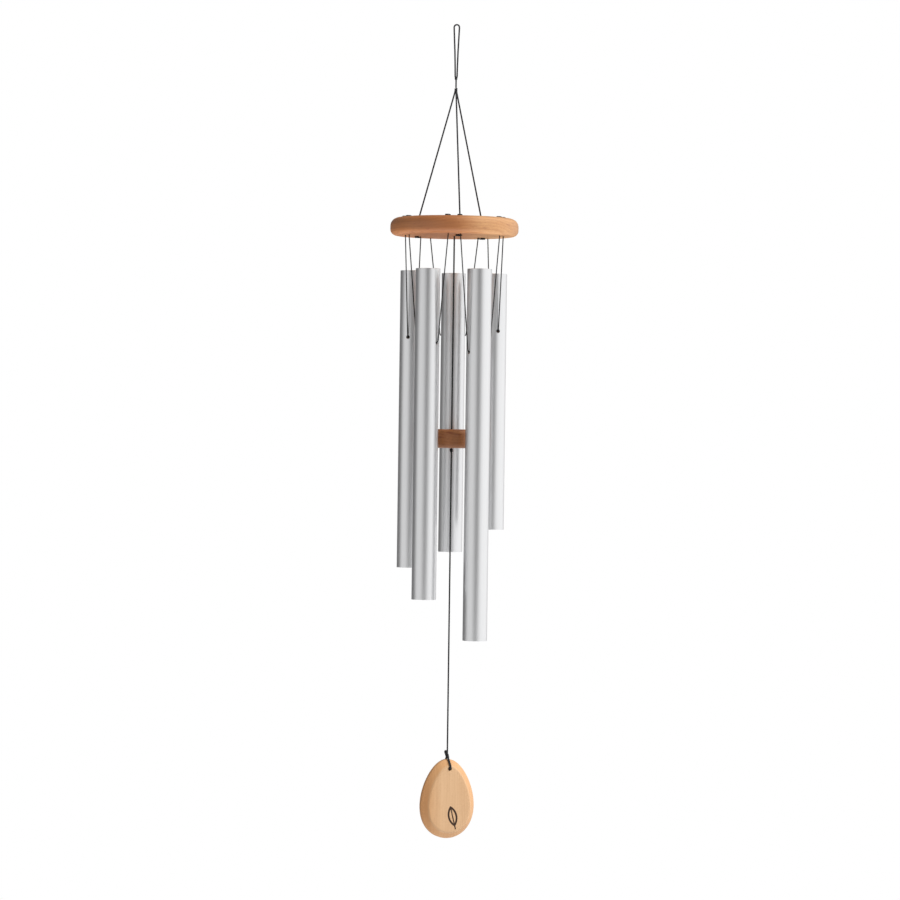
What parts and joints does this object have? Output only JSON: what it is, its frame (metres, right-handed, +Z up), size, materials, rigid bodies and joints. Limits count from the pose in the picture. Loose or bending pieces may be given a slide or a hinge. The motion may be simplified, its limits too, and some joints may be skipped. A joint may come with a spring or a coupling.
{
  "type": "wind chime",
  "caption": "Hanging wind chime with plain aluminium tubes on cord slings under a round beech disc, with a beech striker and egg-shaped wind sail.",
  "frame": {"origin": "the point inside the top of the hanging loop where the hook bears", "axes": "+Z up along the line the chime hangs on, -Y towards the front, the side with the two longest tubes and the sail's hole facing out, +X to the right seen from the front"},
  "size_m": [0.116, 0.116, 0.7365],
  "materials": {
    "cord": "matte",
    "disc_beech": "satin",
    "striker_beech": "satin",
    "sail_beech": "satin",
    "aluminium": "satin"
  },
  "bodies": {
    "loop": {"hanging_loop": "cord"},
    "loop_knot": {"loop_knot": "cord"},
    "link": {"link_cord": "cord"},
    "disc": {"gather_knot": "cord", "support_cord_front": "cord", "support_cord_right": "cord", "support_cord_left": "cord", "support_knot_front": "cord", "support_knot_right": "cord", "support_knot_left": "cord", "top_disc": "disc_beech", "centre_knot": "cord", "sling_left_knot_a": "cord", "sling_left_knot_b": "cord", "sling_front_left_knot_a": "cord", "sling_front_left_knot_b": "cord", "sling_back_knot_a": "cord", "sling_back_knot_b": "cord", "sling_front_right_knot_a": "cord", "sling_front_right_knot_b": "cord", "sling_right_knot_a": "cord", "sling_right_knot_b": "cord"},
    "sling_left": {"sling_left": "cord"},
    "tube_left": {"tube_left": "aluminium"},
    "sling_front_left": {"sling_front_left": "cord"},
    "tube_front_left": {"tube_front_left": "aluminium"},
    "sling_back": {"sling_back": "cord"},
    "tube_back": {"tube_back": "aluminium"},
    "sling_front_right": {"sling_front_right": "cord"},
    "tube_front_right": {"tube_front_right": "aluminium"},
    "sling_right": {"sling_right": "cord"},
    "tube_right": {"tube_right": "aluminium"},
    "clapper_neck": {"clapper_neck": "cord"},
    "clapper": {"clapper_cord": "cord", "striker_knot": "cord"},
    "striker": {"striker": "striker_beech"},
    "sail_neck": {"sail_neck": "cord"},
    "sail_cord": {"sail_cord": "cord"},
    "sail_tie": {"sail_tie": "cord"},
    "sail": {"sail": "sail_beech"}
  },
  "joints": [
    {"name": "loop_knot_twist", "type": "hinge", "parent": "loop", "child": "loop_knot", "pos_m": [0, 0, -0.0463], "axis": [0, 0, 1], "range_deg": [-180, 180]},
    {"name": "link_fore_and_aft", "type": "hinge", "parent": "loop_knot", "child": "link", "pos_m": [0, 0, -0.0493], "axis": [1, 0, 0], "range_deg": [-25, 25]},
    {"name": "chime_side_to_side", "type": "hinge", "parent": "link", "child": "disc", "pos_m": [0, 0, -0.0563], "axis": [0, -1, 0], "range_deg": [-25, 25]},
    {"name": "sling_swing_left", "type": "hinge", "parent": "disc", "child": "sling_left", "pos_m": [-0.03708, 0.01424, -0.1902], "axis": [-0.309, -0.9511, 0], "range_deg": [-30, 1.5]},
    {"name": "tube_rock_left", "type": "hinge", "parent": "sling_left", "child": "tube_left", "pos_m": [-0.03708, 0.01424, -0.28182], "axis": [-0.309, -0.9511, 0], "range_deg": [-20, 2]},
    {"name": "sling_swing_front_left", "type": "hinge", "parent": "disc", "child": "sling_front_left", "pos_m": [-0.0228, -0.02969, -0.1902], "axis": [0.809, -0.5878, 0], "range_deg": [-30, 1.5]},
    {"name": "tube_rock_front_left", "type": "hinge", "parent": "sling_front_left", "child": "tube_front_left", "pos_m": [-0.0228, -0.02969, -0.28768], "axis": [0.809, -0.5878, 0], "range_deg": [-20, 2]},
    {"name": "sling_swing_back", "type": "hinge", "parent": "disc", "child": "sling_back", "pos_m": [0.0003, 0.0414, -0.1902], "axis": [1, 0, 0], "range_deg": [-1.5, 30]},
    {"name": "tube_rock_back", "type": "hinge", "parent": "sling_back", "child": "tube_back", "pos_m": [0.0003, 0.0414, -0.27937], "axis": [1, 0, 0], "range_deg": [-2, 20]},
    {"name": "sling_swing_front_right", "type": "hinge", "parent": "disc", "child": "sling_front_right", "pos_m": [0.0234, -0.02969, -0.1902], "axis": [0.809, 0.5878, 0], "range_deg": [-30, 1.5]},
    {"name": "tube_rock_front_right", "type": "hinge", "parent": "sling_front_right", "child": "tube_front_right", "pos_m": [0.0234, -0.02969, -0.29566], "axis": [0.809, 0.5878, 0], "range_deg": [-20, 2]},
    {"name": "sling_swing_right", "type": "hinge", "parent": "disc", "child": "sling_right", "pos_m": [0.03768, 0.01424, -0.1902], "axis": [0.309, -0.9511, 0], "range_deg": [-1.5, 30]},
    {"name": "tube_rock_right", "type": "hinge", "parent": "sling_right", "child": "tube_right", "pos_m": [0.03768, 0.01424, -0.27541], "axis": [0.309, -0.9511, 0], "range_deg": [-2, 20]},
    {"name": "clapper_fore_and_aft", "type": "hinge", "parent": "disc", "child": "clapper_neck", "pos_m": [0.0003, 0.0021, -0.1902], "axis": [1, 0, 0], "range_deg": [-2.4, 2.4]},
    {"name": "clapper_side_to_side", "type": "hinge", "parent": "clapper_neck", "child": "clapper", "pos_m": [0.0003, 0.0021, -0.1962], "axis": [0, -1, 0], "range_deg": [-2.4, 2.4]},
    {"name": "striker_turn", "type": "hinge", "parent": "clapper", "child": "striker", "pos_m": [0.0003, 0.0021, -0.3734], "axis": [0, 0, 1], "continuous": true},
    {"name": "sail_fore_and_aft", "type": "hinge", "parent": "clapper", "child": "sail_neck", "pos_m": [0.0003, 0.0021, -0.3856], "axis": [1, 0, 0], "range_deg": [-25, 15]},
    {"name": "sail_side_to_side", "type": "hinge", "parent": "sail_neck", "child": "sail_cord", "pos_m": [0.0003, 0.0021, -0.3916], "axis": [0, -1, 0], "range_deg": [-25, 25]},
    {"name": "sail_twist", "type": "hinge", "parent": "sail_cord", "child": "sail_tie", "pos_m": [0.0003, 0.0021, -0.6551], "axis": [0, 0, 1], "range_deg": [-180, 180]},
    {"name": "sail_rock", "type": "hinge", "parent": "sail_tie", "child": "sail", "pos_m": [0.0003, 0.0021, -0.6716], "axis": [-0.342, 0.9397, 0], "range_deg": [-25, 25]}
  ]
}
